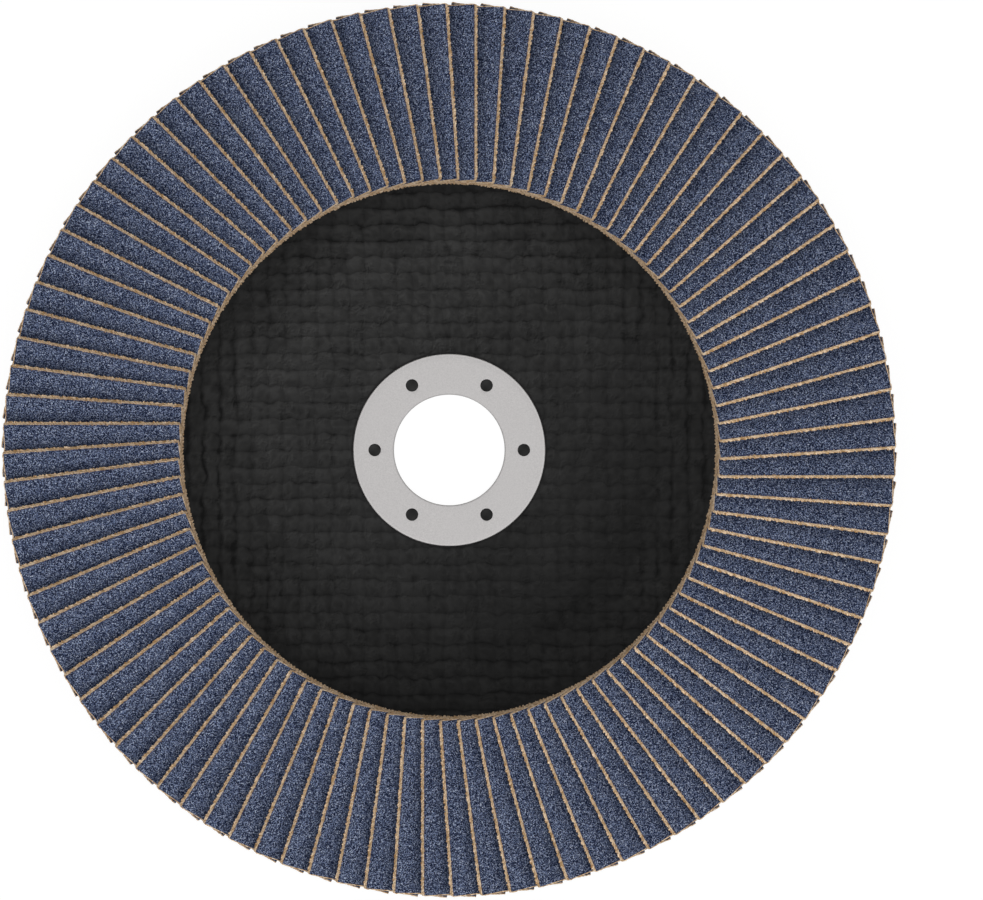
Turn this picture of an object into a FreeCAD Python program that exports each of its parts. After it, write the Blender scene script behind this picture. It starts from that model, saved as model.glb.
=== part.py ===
import FreeCAD, Part
import os
import Sketcher
from FreeCAD import Vector

# A conical flap disc for an angle grinder, lying on its back with the working face up.
# Origin: centre of the bore in the plane of the hub's back face. +Z is the spindle axis and
# points out of the working face. Flap number 1 lies towards +Y, and the others follow clockwise.

# Driving sizes in millimetres and degrees
SIZES = (
    ("disc_diameter", 180, "across the lower outer corners of the flaps"),
    ("bore_diameter", 22.23, "hole that centres the disc on the spindle"),
    ("flap_count", 96, "flaps round the disc"),
    ("flap_width", 24, "a flap across, from its lower to its upper long edge"),
    ("flap_length", 36, "a flap along its long edges"),
    ("flap_thickness", 1.15, "cloth, bond and grain together"),
    ("flap_gap", 0.02, "clearance of neighbouring flaps where they come closest"),
    ("flap_corner", 0.4, "cut off each of a flap's two upper corners"),
    ("lower_edge_offset", 17.1, "from a flap's lower long edge to the radius beside it"),
    ("cone_angle", 8.5, "slope of the working face down to the rim"),
    ("glue_line", 0.35, "between a flap's lower edge and the plate, filled with adhesive"),
    ("bond_clearance", 0.03, "between the adhesive and the ends of a flap's lower edge"),
    ("bead_inset", 1.6, "from the inner ends of the flaps to the bead"),
    ("bead_outset", 1.9, "from the bead to the edge of the plate"),
    ("flap_overhang", 4.2, "how far the flaps stand out past the plate"),
    ("plate_thickness", 2.6, "laminate, the same all over"),
    ("hub_diameter", 76, "flat middle of the plate"),
    ("dish_depth", 6.2, "from the ridge of the plate down to the flat middle"),
    ("ridge_inset", 0.9, "from the ridge to the inner ends of the flaps"),
    ("hub_bend", 10, "front radius where the wall leaves the hub"),
    ("ridge_bevel", 1.5, "flat band over the ridge, measured down from it on both slopes"),
    ("ridge_back_bevel", 0.8, "the same in the hollow behind the ridge"),
    ("plate_edge_bevel", 0.35, "bevel of the plate's outer edge"),
    ("ring_diameter", 38.6, "flange of the arbor ring"),
    ("ring_thickness", 1, "sheet steel of the arbor ring"),
    ("ring_stands_out", 0.4, "how far the flange stands above the hub"),
    ("ring_clearance", 0.03, "between the ring and its seat in the plate, on the radius"),
    ("lip_width", 0.9, "swaged lip that locks the collar at the back"),
    ("ring_edge_bevel", 0.2, "bevel of the flange's outer edge"),
    ("bore_edge_bevel", 0.35, "bevel of both ends of the bore"),
    ("key_hole_count", 6, "holes in the flange that the resin fills"),
    ("key_hole_diameter", 2.5, "each of those holes"),
    ("key_hole_circle", 30, "circle through their centres"),
    ("key_clearance", 0.03, "between a resin stud and its hole, on the radius"),
    ("stud_sink", 0.12, "from the top of a resin stud up to the flange's face"),
)

# Sizes that follow from the driving ones. A flap is laid out in the frame of the radius that its
# long edges are parallel to: x is clockwise, y is outwards. Each flap leans on the next one, so
# its tilt follows from its thickness and the pitch where the flaps are closest together.
FITS = (
    ("pair_count", "size.flap_count / 2"),
    ("flap_pitch", "360 / size.flap_count"),
    ("lower_y", "sqrt(size.disc_diameter ^ 2 / 4 - size.lower_edge_offset ^ 2)"),
    ("lower_inner_y", "lower_y - size.flap_length * cos(size.cone_angle)"),
    ("step_back", "1 - cos(flap_pitch)"),
    ("step_across", "lower_inner_y * sin(flap_pitch) + size.lower_edge_offset * step_back"),
    ("step_in", "lower_inner_y * step_back - size.lower_edge_offset * sin(flap_pitch)"),
    ("step_down", "step_in * sin(size.cone_angle)"),
    ("step_length", "sqrt(step_across ^ 2 + step_down ^ 2)"),
    ("stack_angle", "asin((size.flap_thickness + size.flap_gap) / step_length)"),
    ("flap_tilt", "stack_angle - atan(step_down / step_across)"),
    ("upper_x", "size.flap_width * cos(flap_tilt) - size.lower_edge_offset"),
    ("upper_y", "lower_y + size.flap_width * sin(flap_tilt) * sin(size.cone_angle)"),
    ("sole_x", "size.flap_thickness * sin(flap_tilt) - size.lower_edge_offset"),
    ("sole_y", "lower_y - size.flap_thickness * cos(flap_tilt) * sin(size.cone_angle)"),
    ("sole_inner_y", "sole_y - size.flap_length * cos(size.cone_angle)"),
    ("seat_outer", "sqrt(sole_x ^ 2 + sole_y ^ 2)"),
    ("seat_inner", "sqrt(sole_x ^ 2 + sole_inner_y ^ 2)"),
    ("rim_slope", "size.flap_length * sin(size.cone_angle) / (seat_outer - seat_inner)"),
    ("ridge_radius", "seat_inner - size.ridge_inset"),
    ("ridge_height", "size.plate_thickness + size.dish_depth"),
    ("plate_radius", "size.disc_diameter / 2 - size.flap_overhang"),
    ("rim_height", "ridge_height - (plate_radius - ridge_radius) * rim_slope"),
    ("sole_height", "ridge_height - (seat_outer - ridge_radius) * rim_slope + size.glue_line"),
    ("flap_rise", "size.flap_width * sin(flap_tilt) + size.flap_thickness * cos(flap_tilt)"),
    ("upper_height", "sole_height + flap_rise * cos(size.cone_angle)"),
    ("wall_angle", "atan(size.dish_depth / (ridge_radius - size.hub_diameter / 2))"),
    ("rim_angle", "atan(rim_slope)"),
    ("hub_back_radius", "size.hub_diameter / 2 + size.plate_thickness * tan(wall_angle / 2)"),
    ("ridge_lean", "(wall_angle - rim_angle) / 2"),
    ("ridge_depth", "size.plate_thickness / cos((wall_angle + rim_angle) / 2)"),
    ("ridge_back_radius", "ridge_radius + ridge_depth * sin(ridge_lean)"),
    ("ridge_back_height", "ridge_height - ridge_depth * cos(ridge_lean)"),
    ("rim_back_height", "rim_height - size.plate_thickness / cos(rim_angle)"),
    ("bead_inner", "seat_inner + size.bead_inset"),
    ("bead_outer", "plate_radius - size.bead_outset"),
    ("bead_height", "size.glue_line - size.bond_clearance"),
    ("bead_inner_base", "ridge_height - (bead_inner - ridge_radius) * rim_slope"),
    ("bead_outer_base", "ridge_height - (bead_outer - ridge_radius) * rim_slope"),
    ("bore_radius", "size.bore_diameter / 2"),
    ("collar_radius", "bore_radius + size.ring_thickness"),
    ("flange_radius", "size.ring_diameter / 2"),
    ("lip_radius", "collar_radius + size.lip_width"),
    ("flange_top", "size.plate_thickness + size.ring_stands_out"),
    ("flange_bottom", "flange_top - size.ring_thickness"),
    ("stud_height", "size.ring_thickness - size.stud_sink"),
)

# Two places nearer than this are one place
CLOSE = 0.001

doc = FreeCAD.newDocument("flap_disc")


# Size sheets

def add_sheet(name, rows):
    """Fills a sheet with one named cell for each (name, text of the cell, note)."""
    sheet = doc.addObject("Spreadsheet::Sheet", name)
    for row, (alias, text, note) in enumerate(rows, 1):
        sheet.set(f"A{row}", alias)
        sheet.set(f"B{row}", text)
        sheet.set(f"C{row}", note)
        sheet.setAlias(f"B{row}", alias)
    doc.recompute()
    return sheet


add_sheet("size", [(alias, str(number), note) for alias, number, note in SIZES])
fit = add_sheet("fit", [(alias, "=" + formula, "") for alias, formula in FITS])


def value(expression):
    """The number that an expression on the sheets gives now."""
    result = fit.evalExpression(expression)
    return float(getattr(result, "Value", result))


# Bodies and sketches

def add_body(name):
    body = doc.addObject("PartDesign::Body", name)
    body.Label = name
    return body


def origin_feature(body, role):
    """One of a body's own base planes or axes."""
    return next(feature for feature in body.Origin.OriginFeatures if feature.Role == role)


def add_sketch(body, name, role):
    """An empty sketch on one of the body's own base planes."""
    sketch = body.newObject("Sketcher::SketchObject", name)
    sketch.AttachmentSupport = [(origin_feature(body, role), "")]
    sketch.MapMode = "FlatFace"
    return sketch


def hold(sketch, vertex, kind, expression):
    """Places a vertex along one axis of a sketch, by an expression on the sheets."""
    if expression == "0":
        axis = -2 if kind == "DistanceX" else -1
        sketch.addConstraint(Sketcher.Constraint("PointOnObject", *vertex, axis))
        return
    start = Sketcher.Constraint(kind, -1, 1, *vertex, value(expression))
    index = sketch.addConstraint(start)
    sketch.setExpression(f"Constraints[{index}]", expression)


def draw_outline(sketch, corners):
    """A closed outline of straight lines through corners given as pairs of expressions."""
    points = [Vector(value(across), value(up), 0) for across, up in corners]
    count = len(points)
    for number in range(count):
        ends = points[number], points[(number + 1) % count]
        sketch.addGeometry(Part.LineSegment(*ends), False)
    for number in range(count):
        after = (number + 1) % count
        sketch.addConstraint(Sketcher.Constraint("Coincident", number, 2, after, 1))
    for number, (across, up) in enumerate(corners):
        hold(sketch, (number, 1), "DistanceX", across)
        hold(sketch, (number, 1), "DistanceY", up)


def draw_circle(sketch, across, diameter):
    """A circle centred on the sketch's first axis."""
    centre = Vector(value(across), 0, 0)
    sketch.addGeometry(Part.Circle(centre, Vector(0, 0, 1), value(diameter) / 2), False)
    hold(sketch, (0, 3), "DistanceX", across)
    hold(sketch, (0, 3), "DistanceY", "0")
    index = sketch.addConstraint(Sketcher.Constraint("Diameter", 0, value(diameter)))
    sketch.setExpression(f"Constraints[{index}]", diameter)


def turn(body, name, corners):
    """A turned form: an outline in the XZ plane, given as (radius, height), spun about Z."""
    sketch = add_sketch(body, name + "_section", "XZ_Plane")
    draw_outline(sketch, corners)
    spun = body.newObject("PartDesign::Revolution", name)
    spun.Profile = sketch
    spun.ReferenceAxis = (sketch, ["V_Axis"])
    spun.Angle = 360
    doc.recompute()
    return spun


def repeat_round(body, feature, name, count, what="Features"):
    """Repeats a feature, or the whole shape that it ends, evenly round the Z axis."""
    pattern = body.newObject("PartDesign::PolarPattern", name)
    pattern.TransformMode = what
    pattern.Originals = [feature]
    pattern.Axis = (origin_feature(body, "Z_Axis"), [""])
    pattern.Angle = 360
    pattern.setExpression("Occurrences", count)
    body.Tip = pattern
    doc.recompute()
    return pattern


def soften(body, name, base, edges, radius):
    """Rounds the named edges of a feature."""
    rounded = body.newObject("PartDesign::Fillet", name)
    rounded.Base = (base, edges)
    rounded.setExpression("Radius", radius)
    doc.recompute()
    return rounded


def bevel(body, name, base, edges, size):
    """Takes the named edges of a feature off, by the same size on both of their faces."""
    cut = body.newObject("PartDesign::Chamfer", name)
    cut.Base = (base, edges)
    cut.setExpression("Size", size)
    doc.recompute()
    return cut


def circles_at(feature, radius, height):
    """Names of a feature's circular edges about the Z axis with this radius and height."""
    at_radius, at_height = value(radius), value(height)
    found = []
    for number, edge in enumerate(feature.Shape.Edges, 1):
        curve = edge.Curve
        if not isinstance(curve, Part.Circle) or curve.Center.x ** 2 + curve.Center.y ** 2 > CLOSE:
            continue
        if abs(curve.Radius - at_radius) < CLOSE and abs(curve.Center.z - at_height) < CLOSE:
            found.append(f"Edge{number}")
    return found

# Backing plate: a laminate of even thickness with a depressed hub and a conical rim

def make_backing_plate():
    body = add_body("backing_plate")
    seat_radius = "fit.flange_radius + size.ring_clearance"
    hole_radius = "fit.collar_radius + size.ring_clearance"
    lip_radius = "fit.lip_radius + size.ring_clearance"
    plate = turn(body, "plate", (
        (lip_radius, "0"),
        (hole_radius, "size.lip_width"),
        (hole_radius, "fit.flange_bottom"),
        (seat_radius, "fit.flange_bottom"),
        (seat_radius, "size.plate_thickness"),
        ("size.hub_diameter / 2", "size.plate_thickness"),
        ("fit.ridge_radius", "fit.ridge_height"),
        ("fit.plate_radius", "fit.rim_height"),
        ("fit.plate_radius", "fit.rim_back_height"),
        ("fit.ridge_back_radius", "fit.ridge_back_height"),
        ("fit.hub_back_radius", "0"),
    ))
    sketch = add_sketch(body, "stud_circle", "XY_Plane")
    sketch.setExpression("AttachmentOffset.Base.z", "fit.flange_bottom")
    draw_circle(sketch, "size.key_hole_circle / 2", "size.key_hole_diameter - 2 * size.key_clearance")
    stud = body.newObject("PartDesign::Pad", "resin_stud")
    stud.Profile = sketch
    stud.setExpression("Length", "fit.stud_height")
    doc.recompute()
    plate = repeat_round(body, stud, "resin_studs", "size.key_hole_count")
    for shape, name, radius, height, amount in (
        (soften, "hub_bend", "size.hub_diameter / 2", "size.plate_thickness", "size.hub_bend"),
        (soften, "hub_back_bend", "fit.hub_back_radius", "0",
         "size.hub_bend + size.plate_thickness"),
        (bevel, "ridge", "fit.ridge_radius", "fit.ridge_height", "size.ridge_bevel"),
        (bevel, "ridge_back", "fit.ridge_back_radius", "fit.ridge_back_height",
         "size.ridge_back_bevel"),
        (bevel, "rim_edge", "fit.plate_radius", "fit.rim_height", "size.plate_edge_bevel"),
        (bevel, "rim_back_edge", "fit.plate_radius", "fit.rim_back_height",
         "size.plate_edge_bevel"),
    ):
        plate = shape(body, name, plate, circles_at(plate, radius, height), amount)
    return body


# Arbor ring: a pressed flange with key holes, a collar through the plate and a swaged lip

def make_arbor_ring():
    body = add_body("arbor_ring")
    ring = turn(body, "ring", (
        ("fit.bore_radius", "0"),
        ("fit.lip_radius", "0"),
        ("fit.collar_radius", "size.lip_width"),
        ("fit.collar_radius", "fit.flange_bottom"),
        ("fit.flange_radius", "fit.flange_bottom"),
        ("fit.flange_radius", "fit.flange_top"),
        ("fit.bore_radius", "fit.flange_top"),
    ))
    sketch = add_sketch(body, "key_hole_circle", "XY_Plane")
    sketch.setExpression("AttachmentOffset.Base.z", "fit.flange_top")
    draw_circle(sketch, "size.key_hole_circle / 2", "size.key_hole_diameter")
    hole = body.newObject("PartDesign::Pocket", "key_hole")
    hole.Profile = sketch
    hole.setExpression("Length", "size.ring_thickness")
    doc.recompute()
    ring = repeat_round(body, hole, "key_holes", "size.key_hole_count")
    for name, radius, height, amount in (
        ("flange_edge", "fit.flange_radius", "fit.flange_top", "size.ring_edge_bevel"),
        ("bore_front_edge", "fit.bore_radius", "fit.flange_top", "size.bore_edge_bevel"),
        ("bore_back_edge", "fit.bore_radius", "0", "size.bore_edge_bevel"),
    ):
        ring = bevel(body, name, ring, circles_at(ring, radius, height), amount)
    return body


# Abrasive flaps: each stands on its lower long edge and leans on the next one clockwise

FLAP_SEAT = (
    "placement(vector(fit.upper_x; fit.upper_y; fit.upper_height);"
    " rotation(vector(1; 0; 0); -size.cone_angle) * rotation(vector(0; 1; 0); -fit.flap_tilt))"
)

# A flap's outline in the plane of its grain, from its upper outer corner
FLAP_OUTLINE = (
    ("0", "0"),
    ("0", "-size.flap_length"),
    ("-size.flap_width", "-size.flap_length"),
    ("-size.flap_width", "0"),
)


def upper_corners(feature):
    """Names of the short edges at a flap's two upper corners."""
    sketch = feature.Profile[0]
    into_sketch = sketch.AttachmentOffset.inverse()
    found = []
    for number, edge in enumerate(feature.Shape.Edges, 1):
        across = [abs(into_sketch.multVec(vertex.Point).x) for vertex in edge.Vertexes]
        if max(across) < CLOSE and edge.Length < value("size.flap_thickness") + CLOSE:
            found.append(f"Edge{number}")
    return found


def make_flap_pair(number):
    """Two flaps that face each other across the disc, turned clockwise to their place."""
    body = add_body(f"flap_pair_{number + 1:02d}")
    body.AllowCompound = True
    sketch = add_sketch(body, "outline", "XY_Plane")
    sketch.setExpression("AttachmentOffset", FLAP_SEAT)
    draw_outline(sketch, FLAP_OUTLINE)
    cloth = body.newObject("PartDesign::Pad", "cloth")
    cloth.Profile = sketch
    cloth.setExpression("Length", "size.flap_thickness")
    cloth.Reversed = True
    doc.recompute()
    flap = bevel(body, "corners", cloth, upper_corners(cloth), "size.flap_corner")
    repeat_round(body, flap, "pair", "2", "Whole shape")
    turned = f"rotation(vector(0; 0; 1); -{number} * fit.flap_pitch)"
    body.setExpression("Placement", f"placement(vector(0; 0; 0); {turned})")
    return body


# Adhesive bead: a low ring on the conical rim that bonds the lower edges of the flaps

def make_adhesive_bead():
    body = add_body("adhesive_bead")
    turn(body, "bead", (
        ("fit.bead_inner", "fit.bead_inner_base"),
        ("fit.bead_outer", "fit.bead_outer_base"),
        ("fit.bead_outer", "fit.bead_outer_base + fit.bead_height"),
        ("fit.bead_inner", "fit.bead_inner_base + fit.bead_height"),
    ))
    return body


pieces = [make_backing_plate(), make_arbor_ring(), make_adhesive_bead()]
for number in range(round(value("fit.pair_count"))):
    pieces.append(make_flap_pair(number))
doc.recompute()

# Checks before anything is written
for item in doc.Objects:
    if "Invalid" in item.State or "Error" in item.State:
        raise RuntimeError(f"{item.Label} didn't build: {item.State}")
for piece in pieces:
    if piece.Shape.isNull() or not piece.Shape.isValid():
        raise RuntimeError(f"{piece.Label} has no valid shape")

os.makedirs("parts", exist_ok=True)
for piece in pieces:
    piece.Shape.exportStep(f"parts/{piece.Label}.step")
    print(piece.Label, len(piece.Shape.Solids), "solids,", round(piece.Shape.Volume, 1), "mm3")
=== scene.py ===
import math
import bpy
import numpy
from mathutils import Matrix, Vector


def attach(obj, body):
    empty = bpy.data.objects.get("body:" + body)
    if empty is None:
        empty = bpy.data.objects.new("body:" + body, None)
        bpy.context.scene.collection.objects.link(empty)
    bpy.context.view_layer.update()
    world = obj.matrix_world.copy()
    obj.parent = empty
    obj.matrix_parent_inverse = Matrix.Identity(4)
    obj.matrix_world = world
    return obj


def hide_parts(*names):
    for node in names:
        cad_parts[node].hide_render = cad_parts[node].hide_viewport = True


# A conical flap disc lying on its back, seen square on from its working side.
# Sizes are in millimetres until a mesh is finished, and then in metres. Finishes and the studio
# work in metres, so millimetres in a finish are written as so many MM.

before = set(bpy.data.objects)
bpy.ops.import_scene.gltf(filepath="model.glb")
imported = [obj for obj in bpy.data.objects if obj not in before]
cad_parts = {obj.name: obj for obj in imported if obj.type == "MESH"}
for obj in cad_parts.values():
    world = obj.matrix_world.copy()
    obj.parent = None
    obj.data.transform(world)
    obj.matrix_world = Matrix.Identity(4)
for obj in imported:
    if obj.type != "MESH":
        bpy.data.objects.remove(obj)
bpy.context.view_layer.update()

MM = 0.001
CLOSE = 1e-4
FULL_TURN = 2 * math.pi
# From which cosine on a face counts as facing a side, and an edge as running along an axis
FACING, PARALLEL = 0.9, 0.999

# Disc
FLAP_COUNT = 96
FLAP_PITCH = math.radians(360 / FLAP_COUNT)
PAIR_COUNT = FLAP_COUNT // 2

# A flap's own directions: across to its upper edge, along to its outer end, out of its grain
ACROSS = Vector((0.92703, 0.05544, 0.37088))
ALONG = Vector((0, 0.98902, -0.14781))
OUT = Vector((-0.37500, 0.13702, 0.91683))
UPPER_CORNER = Vector((5.14822, 89.69099, 13.6468))
FLAP_WIDTH, FLAP_LENGTH, FLAP_THICKNESS = 24, 36, 1.15
FLAP_CORNER = 0.4
# The ends of the cloth lie this much further out than the solid's, over this much of its length
END_SHIFT, END_ZONE = 0.13, 0.3

# Grain: how far it stays back from the cut edges, and where the neighbour leaves it bare
GRAIN_BASE = 0.98
GRAIN_TOP = 1.12
BARE_FROM = 16.6
GRAIN_BACK_UPPER = 0.11
GRAIN_BACK_OUTER = 0.21
GRAIN_BACK_INNER = 0.17
GRAIN_CELLS_ACROSS, GRAIN_CELLS_ALONG = 17, 82
# The edge of the flap above: how far across it crosses this one, and its slant
STEP_ACROSS, STEP_SLANT = 20.72, 0.0602

# Fray: a strip along each cut edge is cut into cells, and some cells are drawn out into tufts
CLOTH_TOP = GRAIN_BASE + 0.04
STRIP = 0.4
UPPER_CELLS, OUTER_CELLS, INNER_CELLS = 140, 60, 80
TUFT_FROM = 0.04
UPPER_TUFT_LEAN = 0.10
UPPER_TUFT_SPREAD = 1.2
TWILL = 0.62

# How far a corner of the mesh may stray from its place, across, along and out of the flap
GRAIN_STRAY = (0.05, 0.05, 0.035)
UPPER_STRAY, END_STRAY = (0.05, 0.07, 0.03), (0.07, 0.06, 0.03)
UPPER_TUFT_STRAY = (0.12, 0.09, 0.04)
OUTER_TUFT_STRAY = (0.14, 0.08, 0.04)
INNER_TUFT_STRAY = (0.12, 0.15, 0.05)

# Plate section
PLATE = 2.6
SEAT_RADIUS, SEAT_HEIGHT = 19.33, 2.0
COLLAR_HOLE = 12.145
LIP_HOLE, LIP_DEPTH = 13.045, 0.9
HUB_RADIUS, HUB_BACK_RADIUS, HUB_BEND = 38, 38.4784, 10
RIDGE_RADIUS, RIDGE_HEIGHT = 54.2764, 8.8
RIDGE_BACK_RADIUS, RIDGE_BACK_HEIGHT = 54.56, 6.1258
RIM_RADIUS, RIM_HEIGHT, RIM_BACK_HEIGHT = 85.8, 3.9503, 1.3197
RIM_EDGE = 0.35
PLATE_STEPS = 540

# Ring section
BORE_RADIUS, COLLAR_RADIUS, LIP_RADIUS, FLANGE_RADIUS = 11.115, 12.115, 13.015, 19.3
BORE_EDGE, FLANGE_EDGE = 0.35, 0.2
FLANGE_TOP = 3.0
RING_STEPS = 288
WORN_EDGE = 0.05
KEY_CIRCLE_RADIUS, KEY_RADIUS, KEY_COUNT = 15, 1.25, 6
KEY_CLEARANCE = 0.03
STUD_TOP = 2.88

# Weave pressed into the laminate: the width of a thread, the size of the cells that carry it, its
# relief, and how far it goes
WEAVE = 3.25
WEAVE_CELL = 0.44
WEAVE_RELIEF = 0.10
WEAVE_END = 56
# Upright folds in it: the x of each, the y at its ends, and its seed
FOLDS = ((-3.2, 20, 46, 31), (-0.7, 22, 40, 32), (3.3, -41, -20, 33), (5.2, -34, -22, 34))
STUD_TONE, STUD_RIM_TONE = 0.1, -3

# Colours
BOND, WORN_TIP, BRIGHT_TIP = (0.0030, 0.0064, 0.0245), (0.143, 0.187, 0.320), (0.47, 0.52, 0.64)
STEP_SHADOW, GRAIN_BORDER = (0.010, 0.014, 0.030), (0.012, 0.022, 0.070)
LOOSE_HAIR = (0.62, 0.42, 0.24)
DARK_YARN, YARN, PALE_YARN = (0.46, 0.27, 0.115), (0.96, 0.745, 0.52), (0.98, 0.84, 0.66)
STAIN, DULL_END, TWILL_SHADE = (0.56, 0.35, 0.15), (0.24, 0.18, 0.13), (0.23, 0.15, 0.085)
# The laminate's tone runs from RESIN_CREASE to RESIN_CROWN, mostly as painted light and shade;
# RESIN_SHADE and DEEP_SHADE are painted shade
RESIN_CREASE, RESIN_CROWN = (0.0036, 0.0036, 0.0036), (0.0548, 0.0548, 0.0545)
RESIN_SHADE, DEEP_SHADE = (0.002, 0.002, 0.002), (0.001, 0.001, 0.001)
DARK_STEEL, PALE_STEEL = (0.357, 0.347, 0.345), (0.522, 0.508, 0.505)
CLOUDY_STEEL, FLANGE_EDGE_HIGHLIGHT = (0.445, 0.435, 0.435), (0.585, 0.57, 0.565)
DARK_ADHESIVE, PALE_ADHESIVE = (0.028, 0.018, 0.010), (0.060, 0.040, 0.024)

# Studio: how strongly things are lit, and how the picture is framed
FILL_LIGHT = 0.36
FLOOR_SIZE, FLOOR_DROP = 6, 0.0002
FLOOR_GLOW, FLOOR_GLOW_SHARE = 1.06, 0.90
PICTURE_WIDTH, PIXELS_PER_METRE = 983, 4972.2
CAMERA_ASIDE, CAMERA_HEIGHT = 0.00849, 0.6


# Work on a mesh

def only(piece):
    """Leaves nothing selected but one piece."""
    bpy.ops.object.select_all(action="DESELECT")
    piece.select_set(True)
    bpy.context.view_layer.objects.active = piece
    return piece


def pick(piece, part, test):
    """In edit mode, selects the faces or edges that pass a test."""
    bpy.ops.object.mode_set(mode="EDIT")
    bpy.ops.mesh.select_mode(type=part)
    bpy.ops.mesh.select_all(action="DESELECT")
    bpy.ops.object.mode_set(mode="OBJECT")
    mesh = piece.data
    items = {"FACE": mesh.polygons, "EDGE": mesh.edges}[part]
    for item in items:
        item.select = bool(test(item))
    bpy.ops.object.mode_set(mode="EDIT")


def block(name, low, high):
    """A box between two corners."""
    low, high = Vector(low), Vector(high)
    bpy.ops.mesh.primitive_cube_add(size=1, location=(low + high) / 2)
    piece = only(bpy.context.object)
    piece.name = name
    piece.scale = high - low
    bpy.ops.object.transform_apply(location=True, rotation=True, scale=True)
    return piece


def cut_side(piece, side, height, cuts):
    """Cuts one side of a box into a fine grid. side is the axis that it faces, height its place
    there and cuts the number of cells along each of the other two axes."""
    mesh = piece.data
    for axis, count in cuts.items():
        def runs(edge):
            first, last = (mesh.vertices[number].co for number in edge.vertices)
            level = abs(first[side] - height) + abs(last[side] - height) < CLOSE
            step = last - first
            return level and abs(step[axis]) > PARALLEL * step.length
        pick(piece, "EDGE", runs)
        bpy.ops.mesh.subdivide(number_cuts=count - 1)
        bpy.ops.object.mode_set(mode="OBJECT")


def raise_tufts(piece, side, sign, height, test, narrow, length):
    """Draws single cells of a cut side out into tapered tufts."""
    pick(piece, "FACE", lambda face: abs(face.center[side] - height) < CLOSE
         and face.normal[side] * sign > FACING and test(face.center))
    bpy.ops.mesh.inset(thickness=narrow, depth=length, use_individual=True)
    bpy.ops.object.mode_set(mode="OBJECT")


def joined(name, pieces):
    """Several pieces as one mesh, in the order given."""
    only(pieces[0])
    for piece in pieces:
        piece.select_set(True)
    bpy.ops.object.join()
    piece = bpy.context.object
    piece.name = piece.data.name = name
    return piece


def at_corners(mesh, kind="co"):
    """The places, or else the normals, of a mesh's corners as an array."""
    values = numpy.empty(len(mesh.vertices) * 3)
    mesh.vertices.foreach_get(kind, values)
    return values.reshape(-1, 3)


def move_to(mesh, places):
    """Moves a mesh's corners to the places in an array."""
    mesh.vertices.foreach_set("co", places.astype(numpy.float32).ravel())
    mesh.update()


def note_at_corners(mesh, name, vectors):
    """Keeps a vector at each corner of a mesh, for its finish."""
    attribute = mesh.attributes.new(name, "FLOAT_VECTOR", "POINT")
    attribute.data.foreach_set("vector", vectors.astype(numpy.float32).ravel())


def random_steps(seed, shape):
    """An array of random numbers between -1 and 1, the same ones for the same seed."""
    return numpy.random.default_rng(seed).uniform(-1, 1, shape)


def hills(x, y, width, seed):
    """Smooth random hills and hollows between -1 and 1, of a width."""
    count = 256
    grid = random_steps(seed, (count, count))
    column, row = numpy.floor(x / width).astype(int), numpy.floor(y / width).astype(int)
    u, v = x / width - column, y / width - row
    u, v = u * u * (3 - 2 * u), v * v * (3 - 2 * v)

    def at(right, up):
        return grid[(column + right) % count, (row + up) % count]

    return ((at(0, 0) * (1 - u) + at(1, 0) * u) * (1 - v)
            + (at(0, 1) * (1 - u) + at(1, 1) * u) * v)


def near(distance, reach):
    """1 on a line and 0 well away from it."""
    return numpy.exp(-(distance / reach) ** 2)


# Finishes

class Link:
    """The output of a node, with the arithmetic that is used on it."""

    def __init__(self, finish, socket):
        self.finish = finish
        self.socket = socket

    def maths(self, operation, *values):
        return self.finish.node("ShaderNodeMath", {"operation": operation},
                                dict(enumerate(values)))

    def __add__(self, other):
        return self.maths("ADD", self, other)

    def __sub__(self, other):
        return self.maths("SUBTRACT", self, other)

    def __rsub__(self, other):
        return self.maths("SUBTRACT", other, self)

    def __mul__(self, other):
        return self.maths("MULTIPLY", self, other)

    __radd__ = __add__
    __rmul__ = __mul__

    def over(self, other):
        """The larger of the two."""
        return self.maths("MAXIMUM", self, other)

    def sine(self):
        return self.maths("SINE", self)

    def fraction(self):
        """How far it is past the whole number below it."""
        return self.maths("FRACT", self)

    def gap(self):
        """How far it is from the nearest whole number."""
        return self.maths("PINGPONG", self, 0.5)

    def size(self):
        """Its size without its sign."""
        return self.maths("ABSOLUTE", self)

    def between(self, low, high, to_low=0.0, to_high=1.0):
        """Carries the span from low to high over to another one, and stops at its ends."""
        return self.finish.node("ShaderNodeMapRange", {}, {
            "Value": self, "From Min": low, "From Max": high,
            "To Min": to_low, "To Max": to_high})


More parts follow.
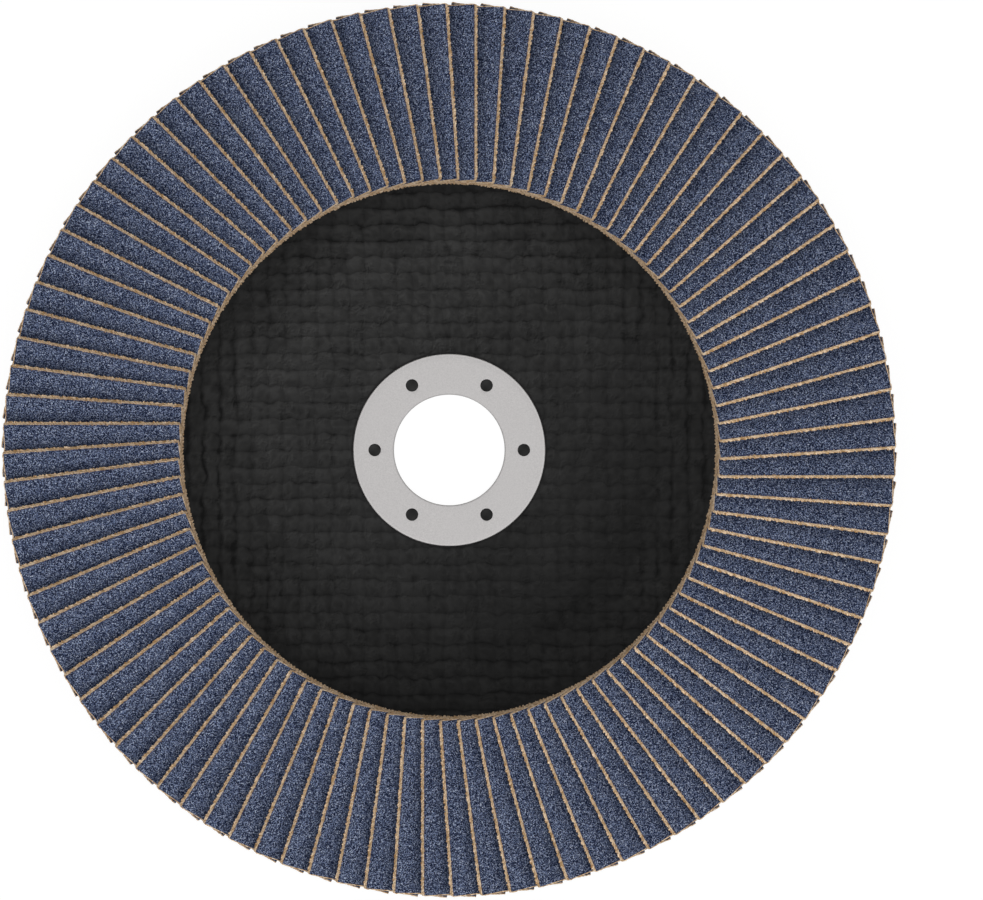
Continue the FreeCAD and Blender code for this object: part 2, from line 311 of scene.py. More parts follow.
class Finish:
    """A procedural material and the nodes that make it up."""

    def __init__(self, name):
        self.material = bpy.data.materials.new(name)
        self.material.use_nodes = True
        self.tree = self.material.node_tree
        self.tree.nodes.clear()

    def node(self, kind, settings, sockets, output=0):
        """Adds a node, sets it up, fills its sockets and gives one of its outputs."""
        made = self.tree.nodes.new(kind)
        for name, setting in settings.items():
            setattr(made, name, setting)
        for key, given in sockets.items():
            if isinstance(given, Link):
                self.tree.links.new(given.socket, made.inputs[key])
            else:
                made.inputs[key].default_value = given
        return Link(self, made.outputs[output])

    def mixed(self, share, first, second):
        """Two colours mixed, from the first at a share of 0 to the second at 1."""
        first, second = ((*c, 1) if isinstance(c, tuple) else c for c in (first, second))
        return self.node("ShaderNodeMix", {"data_type": "RGBA"},
                         {0: share, 6: first, 7: second}, output=2)

    def noise(self, place, size, detail=2, roughness=0.5, distortion=0.0):
        """Cloudy noise whose patches are about a size in millimetres across."""
        return self.node("ShaderNodeTexNoise", {}, {
            "Vector": place, "Scale": 1 / (size * MM), "Detail": detail,
            "Roughness": roughness, "Distortion": distortion})

    def vector_maths(self, operation, *values, output="Vector"):
        """Arithmetic on vectors."""
        return self.node("ShaderNodeVectorMath", {"operation": operation},
                         dict(enumerate(values)), output=output)

    def object_place(self):
        """Place on the disc, in metres."""
        return self.node("ShaderNodeTexCoord", {}, {}, output="Object")

    def from_axis(self, place):
        """How far a place is from the disc's axis, in metres."""
        flat = self.vector_maths("MULTIPLY", place, (1, 1, 0))
        return self.vector_maths("LENGTH", flat, output="Value")

    def noted(self, name, output="Vector"):
        """What the mesh keeps at its corners under a name."""
        return self.node("ShaderNodeAttribute", {"attribute_name": name}, {}, output=output)

    def parts(self, vector):
        """The three parts of a vector."""
        split = self.node("ShaderNodeSeparateXYZ", {}, {"Vector": vector})
        outputs = split.socket.node.outputs
        return [Link(self, outputs[axis]) for axis in range(3)]

    def show(self, shader):
        """Ends the material in a shader."""
        end = self.tree.nodes.new("ShaderNodeOutputMaterial")
        self.tree.links.new(shader.socket, end.inputs["Surface"])

    def done(self, sockets, height, depth):
        """Ends the material in a common shader, with a bump of a depth in millimetres."""
        sockets["Normal"] = self.node("ShaderNodeBump", {}, {
            "Height": height, "Distance": depth * MM, "Strength": 1.0})
        self.show(self.node("ShaderNodeBsdfPrincipled", {}, sockets))
        return self.material


def abrasive_grain():
    """Slate-blue grain: pale worn tips over navy bond, darkest in the pits, with a painted shadow
    under the step of the flap that lies over it."""
    finish = Finish("abrasive grain")
    place = finish.object_place()
    grit = finish.noise(place, 0.23, detail=1.5, roughness=0.6, distortion=1.0)
    broad = finish.noise(place, 1.6, detail=1)
    tips = (grit + broad * 0.08).between(0.543, 0.588)
    colour = finish.mixed(tips, BOND, WORN_TIP)
    colour = finish.mixed(grit.between(0.593, 0.660), colour, BRIGHT_TIP)
    across, along, _ = finish.parts(finish.noted("flap_place"))
    # painted shadow of the step of the flap that lies over it, fading across the bare grain
    beside_step = across + along * STEP_SLANT - STEP_ACROSS * MM
    colour = finish.mixed(beside_step.between(0.3 * MM, 2.6 * MM, 0.32, 0), colour, STEP_SHADOW)
    border = across.between((FLAP_WIDTH - 0.45) * MM, (FLAP_WIDTH - 0.2) * MM, 0, 0.6)
    colour = finish.mixed(border, colour, GRAIN_BORDER)
    hairs = finish.noise(place, 0.28, detail=1, roughness=0.7).between(0.585, 0.63)
    hairs = hairs * across.between((FLAP_WIDTH - 0.34) * MM, (FLAP_WIDTH - 0.12) * MM)
    colour = finish.mixed(hairs, colour, LOOSE_HAIR)
    return finish.done({"Base Color": colour, "Roughness": grit.between(0.4, 0.7, 0.8, 0.5),
                        "Specular IOR Level": 0.1}, grit, 0.07)


def cut_cloth():
    """Tan backing cloth: slanting yarn ends on the cut edges, twill on the back, and duller
    towards the inner end."""
    finish = Finish("backing cloth")
    across, along, out = finish.parts(finish.noted("flap_place"))
    own = finish.noted("flap_seed", output="Fac")
    slant = finish.node("ShaderNodeCombineXYZ", {}, {
        0: along + out * 0.9 + across * 0.5, 1: (out + across) * 0.4, 2: own * 0.01})
    strands = finish.noise(slant, 0.30, detail=2, roughness=0.6, distortion=0.4)
    stains = finish.noise(finish.object_place(), 1.7, detail=1)
    twill = ((across + along) * (FULL_TURN / (TWILL * MM))).sine()
    back = out.between(0.02 * MM, 0.10 * MM, 1, 0)
    colour = finish.mixed(strands.between(0.41, 0.55), DARK_YARN, YARN)
    colour = finish.mixed(strands.between(0.56, 0.68), colour, PALE_YARN)
    colour = finish.mixed(stains.between(0.45, 0.75, 0, 0.5), colour, STAIN)
    colour = finish.mixed(along.between(0.1 * MM, 0.45 * MM, 0.48, 0), colour, DULL_END)
    colour = finish.mixed(twill.between(-1, 0.4, 0.5, 0) * back, colour, TWILL_SHADE)
    return finish.done({"Base Color": colour, "Roughness": 0.9, "Specular IOR Level": 0.15},
                       strands + twill * back * 0.5, 0.08)


def laminate_tone(finish, place, fine, yarns):
    """How pale the laminate is: the weave's painted light and shade on the working side, pale
    crowns, dark creases and small wrinkles of resin lit on one side, plain yarns on the back, and a
    tone of their own on the studs. Gives that and whether a place is on the working side."""
    tone, front, tone_of_stud = finish.parts(finish.noted("weave"))
    columns, rows, gain = finish.parts(finish.noted("threads"))
    column_depth, row_depth, row_slope = finish.parts(finish.noted("creases"))

    # painted light and shade: small ridges of resin, lit from the upper left and shaded to the
    # lower right
    aside = finish.vector_maths("ADD", place, (-0.22 * MM, 0.26 * MM, 0))
    lit, shaded = ((finish.noise(at, 1.5, detail=2.5, distortion=0.5) - 0.5)
                   .size().between(0, 0.07, 1, 0) for at in (place, aside))
    wrinkled = finish.noise(place, 3.2, detail=0).between(0.50, 0.62, 0.12, 0.95)
    painted_wrinkle_light = (lit - shaded) * wrinkled

    ragged = (fine - 0.5) * 0.14
    rows, columns = rows + ragged, columns + ragged
    # painted light and shade of the threads: each row and column paler on one side, and painted
    # shade in the creases between them
    painted_slope_light = (rows.fraction() - 0.5) * row_slope - (columns.fraction() - 0.5) * 0.4
    from_row, from_column = rows.gap(), columns.gap()
    row_creases = from_row.between(0.08, 0.24, 0.36, 0) + from_row.between(0.02, 0.13, 0.60, 0)
    column_creases = (from_column.between(0.13, 0.21, 0.50, 0)
                      + from_column.between(0.01, 0.11, 1, 0) * (0.66 - 0.52 * row_slope))
    creases = row_depth * row_creases + column_depth * column_creases
    woven = (tone + painted_slope_light - creases) * gain
    woven = woven + (woven - 0.1).over(0) * 0.5
    tone = woven * front + (fine - 0.5) * 0.5 + painted_wrinkle_light * 0.8 + (1 - front) * yarns * 0.8
    return tone + (1 - front) * tone_of_stud, front


def black_laminate():
    """Black resin over a woven glass mat, with painted light and shade: pale on the crowns of the
    weave, dark in its creases, painted shade up the wall and to the lower right, and a painted
    shadow close round the ring."""
    finish = Finish("black laminate")
    place = finish.object_place()
    x, y, _ = finish.parts(place)
    radius = finish.from_axis(place)
    cloudy = finish.noise(place, 5.0, detail=2)
    fine = finish.noise(place, 0.45, detail=3, roughness=0.6)
    per_thread = FULL_TURN / (WEAVE * MM)
    yarns = (x * per_thread).sine() * (y * per_thread).sine()
    tone, front = laminate_tone(finish, place, fine, yarns)
    colour = finish.mixed(tone.between(-1.9, 1.9), RESIN_CREASE, RESIN_CROWN)

    on_wall = radius.between(HUB_RADIUS * MM, 54 * MM) * front
    # painted shade up the wall, stronger on some sides than on others
    wall_shade = 0.49 - x * 2.85 + y * 1.35 + (y.size() - x.size()) * 2.4
    colour = finish.mixed(on_wall * wall_shade, colour, DEEP_SHADE)
    # painted shade that grows towards the lower right, half as strong up the wall
    painted_shade_lower_right = (y - x).between(-56 * MM, 56 * MM, 0.648, 0) * (1 - on_wall * 0.5)
    colour = finish.mixed(painted_shade_lower_right, colour, RESIN_SHADE)
    # painted shadow in a narrow band just outside the ring
    painted_ring_shadow = (radius.between((FLANGE_RADIUS + 0.25) * MM, (FLANGE_RADIUS + 0.5) * MM, 0.8, 0)
                   * front * radius.between((FLANGE_RADIUS - 0.4) * MM, FLANGE_RADIUS * MM))
    colour = finish.mixed(painted_ring_shadow, colour, DEEP_SHADE)
    return finish.done({"Base Color": colour,
                        "Roughness": (cloudy + fine).between(0.7, 1.3, 0.46, 0.60),
                        "Specular IOR Level": 0.06}, fine + yarns * (1 - front) * 2, 0.012)


def blasted_steel():
    """Dull zinc-grey steel with a fine blasted grain, and a painted highlight along the flange's
    edge.
    """
    finish = Finish("blasted steel")
    place = finish.object_place()
    fine = finish.noise(place, 0.22, detail=3, roughness=0.7)
    cloudy = finish.noise(place, 9.0, detail=2)
    colour = finish.mixed(fine.between(0.3, 0.7), DARK_STEEL, PALE_STEEL)
    colour = finish.mixed(cloudy.between(0.3, 0.7, 0, 0.25), colour, CLOUDY_STEEL)
    # painted highlight along the flange's rounded edge
    painted_edge_highlight = finish.from_axis(place).between(
        (FLANGE_RADIUS - 0.45) * MM, (FLANGE_RADIUS - 0.15) * MM, 0, 0.5)
    colour = finish.mixed(painted_edge_highlight, colour, FLANGE_EDGE_HIGHLIGHT)
    return finish.done({"Base Color": colour, "Metallic": 0.55,
                        "Roughness": fine.between(0.3, 0.7, 0.55, 0.68)}, fine, 0.006)


def dark_adhesive():
    """Dark brown cured resin."""
    finish = Finish("dark adhesive")
    cloudy = finish.noise(finish.object_place(), 3.0, detail=3)
    colour = finish.mixed(cloudy.between(0.35, 0.65), DARK_ADHESIVE, PALE_ADHESIVE)
    return finish.done({"Base Color": colour, "Roughness": cloudy.between(0.3, 0.7, 0.25, 0.45)},
                       cloudy, 0.15)


GRAIN = abrasive_grain()
CLOTH = cut_cloth()
LAMINATE = black_laminate()
STEEL = blasted_steel()
ADHESIVE = dark_adhesive()


# Flaps

def some_of(place, count, length, of_five):
    """Whether a place along an edge is in a cell that makes a tuft, as so many of five do."""
    return int(place * count / length) * 7 % 5 < of_five


def frayed_cloth():
    """The cloth of a flap as blocks: a plain body and a frayed strip at each cut edge."""
    width, length, top = FLAP_WIDTH, FLAP_LENGTH, CLOTH_TOP
    body = block("cloth_body", (0.1, 0.15, 0), (width - 0.25, length - 0.15, top))
    upper = block("upper_edge", (width - STRIP, 0, 0), (width, length, top))
    cut_side(upper, 0, width, {1: UPPER_CELLS, 2: 4})
    raise_tufts(upper, 0, 1, width,
                lambda c: c.z < top / 4 and some_of(c.y, UPPER_CELLS, length, 4),
                narrow=0.07, length=0.17)
    outer = block("outer_end", (0, length - STRIP, 0), (width, length, top))
    cut_side(outer, 1, length, {0: OUTER_CELLS, 2: 3})
    raise_tufts(outer, 1, 1, length,
                lambda c: c.z < top / 3 and int(c.x * OUTER_CELLS / width) % 2,
                narrow=0.10, length=0.08)
    inner = block("inner_end", (0, 0, 0), (width, STRIP, top))
    cut_side(inner, 1, 0, {0: INNER_CELLS, 2: 3})
    raise_tufts(inner, 1, -1, 0,
                lambda c: c.z < top / 3 and some_of(c.x, INNER_CELLS, width, 3),
                narrow=0.05, length=0.16)
    return [body, upper, outer, inner]


def grain_layer():
    """The grain of a flap as blocks: one under the neighbour, and a bare one that is cut finely."""
    near_end, far_end = GRAIN_BACK_INNER, FLAP_LENGTH - GRAIN_BACK_OUTER
    hidden = block("covered_grain", (0, near_end, GRAIN_BASE), (BARE_FROM, far_end, GRAIN_TOP))
    bare = block("bare_grain", (BARE_FROM, near_end, GRAIN_BASE),
                 (FLAP_WIDTH - GRAIN_BACK_UPPER, far_end, GRAIN_TOP))
    cut_side(bare, 2, GRAIN_TOP, {0: GRAIN_CELLS_ACROSS, 1: GRAIN_CELLS_ALONG})
    return [hidden, bare]


def model_flap():
    """One flap lying flat at the origin. Gives the piece, how far each corner of its mesh may
    stray, which corners are tufts of the upper edge, and the corner whose step each one shares."""
    width, length = FLAP_WIDTH, FLAP_LENGTH
    cloth, grain = frayed_cloth(), grain_layer()
    for pieces, material in ((cloth, CLOTH), (grain, GRAIN)):
        for piece in pieces:
            piece.data.materials.append(material)
    flap = joined("flap", cloth + grain)

    places = at_corners(flap.data)
    is_grain = numpy.zeros(len(places), bool)
    for face in flap.data.polygons:
        if face.material_index == 1:
            is_grain[list(face.vertices)] = True
    x, y, z = places.T
    upper_tuft = x > width + TUFT_FROM
    outer_tuft, inner_tuft = y > length + TUFT_FROM, y < -TUFT_FROM
    stray = numpy.zeros_like(places)
    for corners, reach in (
        (is_grain & (z > GRAIN_TOP - CLOSE) & (x > BARE_FROM - CLOSE), GRAIN_STRAY),
        (~is_grain & (x > width - CLOSE), UPPER_STRAY),
        (~is_grain & (y > length - CLOSE), END_STRAY),
        (~is_grain & (y < CLOSE), END_STRAY),
        (upper_tuft, UPPER_TUFT_STRAY),
        (outer_tuft, OUTER_TUFT_STRAY),
        (inner_tuft, INNER_TUFT_STRAY),
    ):
        stray[corners] = reach

    # a tuft's corners move together
    tuft = upper_tuft | outer_tuft | inner_tuft
    mover = numpy.arange(len(places))
    for face in flap.data.polygons:
        corners = list(face.vertices)
        if tuft[corners].all():
            mover[corners] = min(corners)

    y[upper_tuft] += UPPER_TUFT_LEAN
    round_upper_corners(x, y)
    y[(y > length - END_ZONE) | (y < END_ZONE)] += END_SHIFT
    move_to(flap.data, places)
    return flap, stray, upper_tuft, mover


def round_upper_corners(x, y):
    """Draws what lies outside a flap's two rounded upper corners in to them."""
    for end, sign in ((FLAP_LENGTH, 1), (0, -1)):
        across = x - (FLAP_WIDTH - FLAP_CORNER)
        along = (y - end) * sign + FLAP_CORNER
        reach = numpy.hypot(across, along)
        beyond = (across > 0) & (along > 0) & (reach > FLAP_CORNER)
        shrink = FLAP_CORNER / numpy.where(beyond, reach, 1)
        x[beyond] = FLAP_WIDTH - FLAP_CORNER + (across * shrink)[beyond]
        y[beyond] = end + ((along * shrink - FLAP_CORNER) * sign)[beyond]


def place_flaps():
    """Copies the flap round the disc, two flaps to a piece, each frayed in its own way."""
    flap, stray, upper_tuft, mover = model_flap()
    places = at_corners(flap.data)
    note_at_corners(flap.data, "flap_place", places * MM)
    second = flap.copy()
    second.data = flap.data.copy()
    bpy.context.collection.objects.link(second)
    pair = joined("flap_pair", [flap, second])
    frame_of_flap = numpy.array([ACROSS, ALONG, OUT])
    corner = numpy.array(UPPER_CORNER)
    for number in range(PAIR_COUNT):
        both = []
        for step in (number, number + PAIR_COUNT):
            steps = random_steps(step, places.shape)[mover]
            steps[upper_tuft, 0] = 2 * (0.5 + 0.5 * steps[upper_tuft, 0]) ** UPPER_TUFT_SPREAD - 1
            own = places + stray * steps
            own = (own - (FLAP_WIDTH, FLAP_LENGTH, FLAP_THICKNESS)) @ frame_of_flap + corner
            turn = numpy.array(Matrix.Rotation(-step * FLAP_PITCH, 3, "Z"))
            both.append(own @ turn.T * MM)
        name = f"flap_pair_{number + 1:02d}"
        piece = pair.copy()
        piece.data = pair.data.copy()
        piece.name = piece.data.name = name + "_dressed"
        bpy.context.collection.objects.link(piece)
        move_to(piece.data, numpy.vstack(both))
        seed = piece.data.attributes.new("flap_seed", "FLOAT", "POINT")
        seed.data.foreach_set("value", numpy.repeat((number, number + PAIR_COUNT), len(places)))
        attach(piece, "root")
        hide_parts(name)
    bpy.data.objects.remove(pair)


place_flaps()


# Turned pieces

def rounded(corners, step):
    """An outline through corners given as (radius, height, rounding, step). The roundings are cut
    into the step given for all, and the straight run after each corner into the corner's own."""
    ends = []
    count = len(corners)
    for number, (x, y, rounding, _) in enumerate(corners):
        here = Vector((x, y))
        before = (Vector(corners[number - 1][:2]) - here).normalized()
        after = (Vector(corners[(number + 1) % count][:2]) - here).normalized()
        if not rounding:
            ends.append([here])
            continue
        half = before.angle(after) / 2
        reach = rounding / math.tan(half)
        first, last = here + before * reach, here + after * reach
        centre = here + (before + after).normalized() * rounding / math.sin(half)
        swing = (first - centre).angle_signed(last - centre)
        pieces = max(3, round(abs(swing) * rounding / step))
        ends.append([centre + Matrix.Rotation(-swing * n / pieces, 2) @ (first - centre)
                     for n in range(pieces + 1)])
    points = []
    for number, group in enumerate(ends):
        points += group
        run = corners[number][3]
        start, end = group[-1], ends[(number + 1) % count][0]
        cuts = max(1, round((end - start).length / run))
        points += [start.lerp(end, n / cuts) for n in range(1, cuts)]
    return [(p.x, p.y) for p in points]


def turned(name, outline, steps):
    """A ring-shaped piece: a closed outline of (radius, height) turned about Z. The outline runs
    up, outwards, down and back in, so that the faces look outwards. The mesh is built face by
    face, because Blender's spin and merge order their faces differently each run."""
    corners, faces = [], []
    count = len(outline)
    for step in range(steps):
        angle = FULL_TURN * step / steps
        corners += [(x * math.cos(angle), x * math.sin(angle), z) for x, z in outline]
        here, after = count * step, count * ((step + 1) % steps)
        for number in range(count):
            before = (number - 1) % count
            faces.append((here + before, here + number, after + number, after + before))
    mesh = bpy.data.meshes.new(name)
    mesh.from_pydata(corners, [], faces)
    piece = bpy.data.objects.new(name, mesh)
    bpy.context.collection.objects.link(piece)
    return only(piece)


def finish_piece(piece, node, *, angle):
    """Smooths a piece up to an angle in degrees, brings it to metres and puts it in the place of
    its node."""
    only(piece)
    bpy.ops.object.shade_smooth_by_angle(angle=math.radians(angle))
    piece.data.transform(Matrix.Scale(MM, 4))
    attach(piece, "root")
    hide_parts(node)


def key_places(height):
    """The middles of the key holes at a height."""
    places = []
    for number in range(KEY_COUNT):
        angle = math.radians(360 / KEY_COUNT * number)
        places.append((KEY_CIRCLE_RADIUS * math.cos(angle), KEY_CIRCLE_RADIUS * math.sin(angle),
                       height))
    return places


def upright_folds(x, y):
    """The few long folds that run up and down the laminate: a ridge with a dip beside it, which in
    the tone is painted light on the ridge and painted shade beside it.
    """
    folds = numpy.zeros_like(x)
    for place, low, high, seed in FOLDS:
        middle = place + 0.45 * hills(y, y * 0, 2.2, seed) + 0.3 * hills(y, y * 0, 0.8, seed)
        along = numpy.clip((y - low) / 2, 0, 1) * numpy.clip((high - y) / 2, 0, 1)
        strength = along * numpy.clip(0.25 + 0.9 * hills(y, y * 0, 1.1, seed + 5), 0, 1)
        folds += strength * (near(x - middle, 0.30) - 0.6 * near(x - middle - 0.7, 0.45))
    return folds


def wrinkles(x, y):
    """Short narrow wrinkles in the resin."""
    return near(hills(x, y, 1.25, 17) + 0.3 * hills(x, y, 0.5, 18), 0.10)


def pressed_weave(x, y):
    """The glass cloth that shows through the resin, at places on the plate. Gives the lift of the
    surface and its tone between the creases, a tone mostly of painted light and shade, both from
    about -1 to 1, then the place counted in threads with the strength of the tone, and the depth
    of the creases with the slope of the rows, which set the painted shade and light of the threads.
    The last number of each call of hills is its seed."""
    radius = numpy.hypot(x, y) + 1e-6
    wall = numpy.clip((radius - HUB_RADIUS) / 10, 0, 1)
    facing_up, facing_side = numpy.abs(y) / radius, numpy.abs(x) / radius
    above, beside = wall * facing_up ** 2, wall * facing_side ** 2

    # the threads wander, and bulge over each other
    u = x + 0.45 * hills(x, y, 5.5, 11) + 0.45 * hills(x, y, 1.7, 12) + 0.6
    v = y + 0.38 * hills(x, y, 5.5, 13) + 0.34 * hills(x, y, 1.7, 14) + 0.3
    bulge = 0.13 + 0.12 * hills(x, y, 3.1, 23)
    v, u = (v - bulge * numpy.cos(FULL_TURN * u / WEAVE + math.pi),
            u - 0.8 * bulge * numpy.cos(FULL_TURN * v / WEAVE + math.pi))
    across = (u / WEAVE) % 1 - 0.5
    up = (v / WEAVE) % 1 - 0.5

    # the creases between them, deeper up the wall where they run along it; the same depths set
    # their painted shade
    row_depth = 0.62 + 0.15 * above + (0.62 - 0.25 * above) * hills(x, y, 2.6, 15)
    row_depth = (numpy.clip(row_depth, 0.1, 1.3)
                 * (0.8 + 0.9 * wall * (facing_up ** 2 - 0.5)))
    column_depth = 0.45 + 0.16 * beside + (0.60 - 0.12 * beside) * hills(x, y, 2.6, 16)
    column_depth = (numpy.clip(column_depth, 0.05, 1.2)
                    * (0.8 + 1.3 * wall * (facing_side ** 2 - 0.35)))
    from_column = (0.5 - numpy.abs(across)) * WEAVE
    from_row = (0.5 - numpy.abs(up)) * WEAVE
    row = (0.40 * near(from_row, 0.62) + 0.80 * near(from_row, 0.20)) * row_depth
    column = (0.55 * near(from_column, 0.62) + 0.52 * near(from_column, 0.20)) * column_depth

    crown = (1 - (2 * across) ** 2) * (1 - (2 * up) ** 2)
    facets = 1 - 2 * numpy.abs(hills(x, y, 1.35, 20) + 0.45 * hills(x, y, 0.62, 21))
    wrinkled = numpy.clip(hills(x, y, 2.0, 19) * 1.5 - 0.35, 0, 1) * (1 - 0.5 * wall)
    folds = upright_folds(x, y)
    # the tone is mostly painted light and shade of the relief: pale crowns and facets, wrinkles lit
    # on one side and shaded on the other, and folds pale with a dark side; the broad hills are a
    # random tone
    tone = (0.12 * (crown - 0.42) + 0.50 * facets + 0.22 * hills(x, y, 7, 22)
            + 0.9 * wrinkled * (wrinkles(x, y) - wrinkles(x - 0.20, y + 0.24)) + 0.65 * folds)
    lift = crown - 0.7 * row - 0.5 * column + 0.12 * facets + 0.3 * folds - 0.4
    threads = numpy.column_stack((u / WEAVE, v / WEAVE, 1 + 0.38 * wall))
    creases = numpy.column_stack((column_depth, row_depth, 1 - 0.7 * beside))
    return lift, tone, threads, creases


def press_weave(plate):
    """Lifts the working side of the plate by the weave and notes the weave for its finish."""
    places, normals = at_corners(plate.data), at_corners(plate.data, "normal")
    radius = numpy.hypot(places[:, 0], places[:, 1])
    front = (normals[:, 2] > 0.5) & (radius > SEAT_RADIUS + 0.1)
    fade = (numpy.clip((radius - SEAT_RADIUS - 0.2) / 1.2, 0, 1)
            * numpy.clip((WEAVE_END - radius) / 1.5, 0, 1))
    lift, tone, threads, creases = pressed_weave(places[:, 0], places[:, 1])
    places += normals * (lift * fade * front * WEAVE_RELIEF)[:, None]
    move_to(plate.data, places)
    note_at_corners(plate.data, "weave", numpy.column_stack((tone, front, front * 0)))
    note_at_corners(plate.data, "threads", threads)
    note_at_corners(plate.data, "creases", creases)


def model_stud(centre):
    """The resin in a key hole: a low stud with a shallow hollow in its top and a dark rim."""
    bpy.ops.mesh.primitive_cylinder_add(vertices=40, radius=KEY_RADIUS - KEY_CLEARANCE,
                                        depth=STUD_TOP - SEAT_HEIGHT + 0.2, location=centre)
    stud = only(bpy.context.object)
    bpy.ops.object.transform_apply(location=True)
    pick(stud, "FACE", lambda face: face.normal.z > FACING)
    for narrow, depth in ((0.14, 0), (0.46, -0.06), (0.30, -0.02)):
        bpy.ops.mesh.inset(thickness=narrow, depth=depth)
    bpy.ops.object.mode_set(mode="OBJECT")
    places = at_corners(stud.data)
    from_centre = numpy.hypot(places[:, 0] - centre[0], places[:, 1] - centre[1])
    at_rim = from_centre > KEY_RADIUS - 0.08
    note_at_corners(stud.data, "weave", numpy.column_stack(
        (at_rim * 0, at_rim * 0, numpy.where(at_rim, STUD_RIM_TONE, STUD_TONE))))
    return stud


def model_plate():
    """The laminate, with the weave pressed into its working side, and its six studs."""
    # radius, height, rounding, and the step of the run after the corner
    outline = rounded((
        (SEAT_RADIUS, SEAT_HEIGHT, 0, 1),
        (SEAT_RADIUS, PLATE, 0, WEAVE_CELL),
        (HUB_RADIUS, PLATE, HUB_BEND, WEAVE_CELL),
        (RIDGE_RADIUS, RIDGE_HEIGHT, 4, 2.5),
        (RIM_RADIUS, RIM_HEIGHT, RIM_EDGE, 1),
        (RIM_RADIUS, RIM_BACK_HEIGHT, RIM_EDGE, 1.6),
        (RIDGE_BACK_RADIUS, RIDGE_BACK_HEIGHT, 3, 1.6),
        (HUB_BACK_RADIUS, 0, HUB_BEND + PLATE, 1.6),
        (LIP_HOLE, 0, 0, 1),
        (COLLAR_HOLE, LIP_DEPTH, 0, 1.1),
        (COLLAR_HOLE, SEAT_HEIGHT, 0, 3),
    ), step=0.5)
    plate = turned("backing_plate_dressed", outline, PLATE_STEPS)
    press_weave(plate)
    studs = [model_stud(centre) for centre in key_places((SEAT_HEIGHT + STUD_TOP) / 2)]
    plate = joined("backing_plate_dressed", [plate, *studs])
    plate.data.materials.append(LAMINATE)
    finish_piece(plate, "backing_plate", angle=40)


def model_ring():
    """The pressed steel ring, with its key holes cut and its edges worn."""
    # radius, height, rounding, and the step of the run after the corner
    outline = rounded((
        (BORE_RADIUS, 0, BORE_EDGE, 1),
        (BORE_RADIUS, FLANGE_TOP, BORE_EDGE, 1.2),
        (FLANGE_RADIUS, FLANGE_TOP, FLANGE_EDGE, 0.5),
        (FLANGE_RADIUS, SEAT_HEIGHT, 0, 2),
        (COLLAR_RADIUS, SEAT_HEIGHT, 0, 1),
        (COLLAR_RADIUS, LIP_DEPTH, 0, 1),
        (LIP_RADIUS, 0, 0, 1),
    ), step=0.09)
    ring = turned("arbor_ring_dressed", outline, RING_STEPS)
    cutters = []
    for centre in key_places(FLANGE_TOP):
        bpy.ops.mesh.primitive_cylinder_add(vertices=48, radius=KEY_RADIUS, depth=4,
                                            location=centre)
        cutters.append(bpy.context.object)
    cutter = joined("key_holes", cutters)
    only(ring)
    cut = ring.modifiers.new("key holes", "BOOLEAN")
    cut.operation = "DIFFERENCE"
    cut.object = cutter
    cut.solver = "EXACT"
    bpy.ops.object.modifier_apply(modifier=cut.name)
    bpy.data.objects.remove(cutter)
    ease = ring.modifiers.new("worn edges", "BEVEL")
    ease.width = WORN_EDGE
    ease.segments = 2
    ease.limit_method = "ANGLE"
    ease.angle_limit = math.radians(50)
    bpy.ops.object.modifier_apply(modifier=ease.name)
    ring.data.materials.clear()
    ring.data.materials.append(STEEL)
    finish_piece(ring, "arbor_ring", angle=35)


model_plate()
model_ring()

# The bead stays as it is in the source, and only gets its finish
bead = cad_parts["adhesive_bead"]
bead.data.materials.clear()
bead.data.materials.append(ADHESIVE)


# Studio

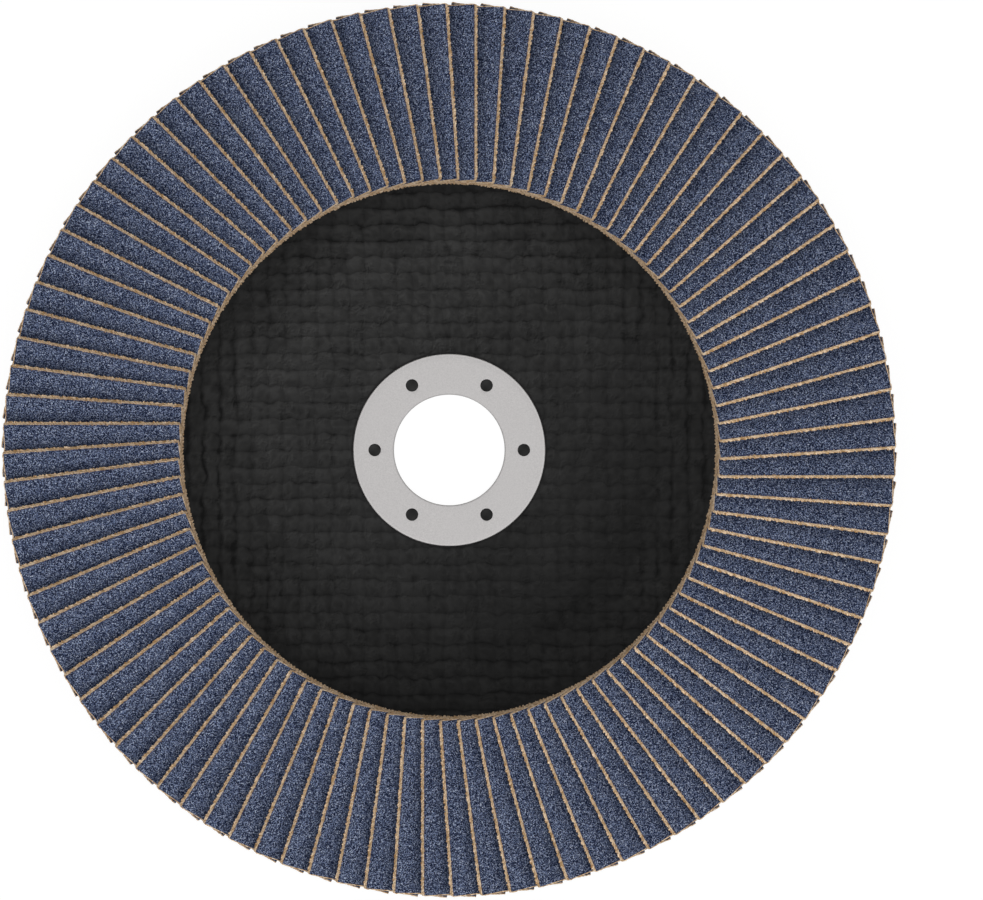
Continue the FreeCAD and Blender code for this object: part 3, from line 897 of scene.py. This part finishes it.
def lit_background():
    """White to the camera and in reflections, and a plain soft light on everything."""
    world = bpy.data.worlds.new("studio")
    bpy.context.scene.world = world
    world.use_nodes = True
    nodes, links = world.node_tree.nodes, world.node_tree.links
    nodes.clear()
    path = nodes.new("ShaderNodeLightPath")
    seen = path.outputs["Is Camera Ray"]
    for ray in ("Is Glossy Ray", "Is Transmission Ray"):
        either = nodes.new("ShaderNodeMath")
        either.operation = "MAXIMUM"
        links.new(seen, either.inputs[0])
        links.new(path.outputs[ray], either.inputs[1])
        seen = either.outputs[0]
    strength = nodes.new("ShaderNodeMapRange")
    strength.inputs["To Min"].default_value = FILL_LIGHT
    strength.inputs["To Max"].default_value = 1.0
    links.new(seen, strength.inputs["Value"])
    light = nodes.new("ShaderNodeBackground")
    light.inputs["Color"].default_value = (1, 1, 1, 1)
    links.new(strength.outputs[0], light.inputs["Strength"])
    end = nodes.new("ShaderNodeOutputWorld")
    links.new(light.outputs[0], end.inputs["Surface"])


def pale_floor():
    """A white floor that keeps a faint shadow."""
    bpy.ops.mesh.primitive_plane_add(size=FLOOR_SIZE, location=(0, 0, -FLOOR_DROP))
    floor = only(bpy.context.object)
    floor.name = "floor"
    finish = Finish("white floor")
    seen = finish.node("ShaderNodeLightPath", {}, {}, output="Is Camera Ray")
    outputs = seen.socket.node.outputs
    for ray in ("Is Glossy Ray", "Is Transmission Ray"):
        seen = seen.over(Link(finish, outputs[ray]))
    paper = finish.node("ShaderNodeBsdfDiffuse", {}, {"Color": (0.8, 0.8, 0.8, 1)})
    glow = finish.node("ShaderNodeEmission", {}, {"Color": (1, 1, 1, 1), "Strength": FLOOR_GLOW})
    finish.show(finish.node("ShaderNodeMixShader", {}, {
        0: seen * FLOOR_GLOW_SHARE, 1: paper, 2: glow}))
    floor.data.materials.append(finish.material)


def lamp(name, place, size, energy):
    """A square soft lamp aimed at the middle of the disc."""
    data = bpy.data.lights.new(name, "AREA")
    data.size = size
    data.energy = energy
    light = bpy.data.objects.new(name, data)
    bpy.context.collection.objects.link(light)
    light.location = place
    light.rotation_euler = (-Vector(place)).to_track_quat("-Z", "Y").to_euler()


def square_on_camera():
    """Straight down, with the disc where the picture has it."""
    data = bpy.data.cameras.new("camera")
    data.type = "ORTHO"
    data.ortho_scale = PICTURE_WIDTH / PIXELS_PER_METRE
    camera = bpy.data.objects.new("camera", data)
    bpy.context.collection.objects.link(camera)
    camera.location = (CAMERA_ASIDE, 0.0, CAMERA_HEIGHT)
    bpy.context.scene.camera = camera


lit_background()
pale_floor()
lamp("overhead", (-0.01, -0.06, 0.50), size=0.5, energy=1.15)
lamp("lower left", (-0.52, -0.69, 0.45), size=0.4, energy=1.22)
lamp("lower right", (0.52, -0.39, 0.45), size=0.4, energy=0.92)
square_on_camera()

bpy.context.scene.view_settings.view_transform = "Standard"
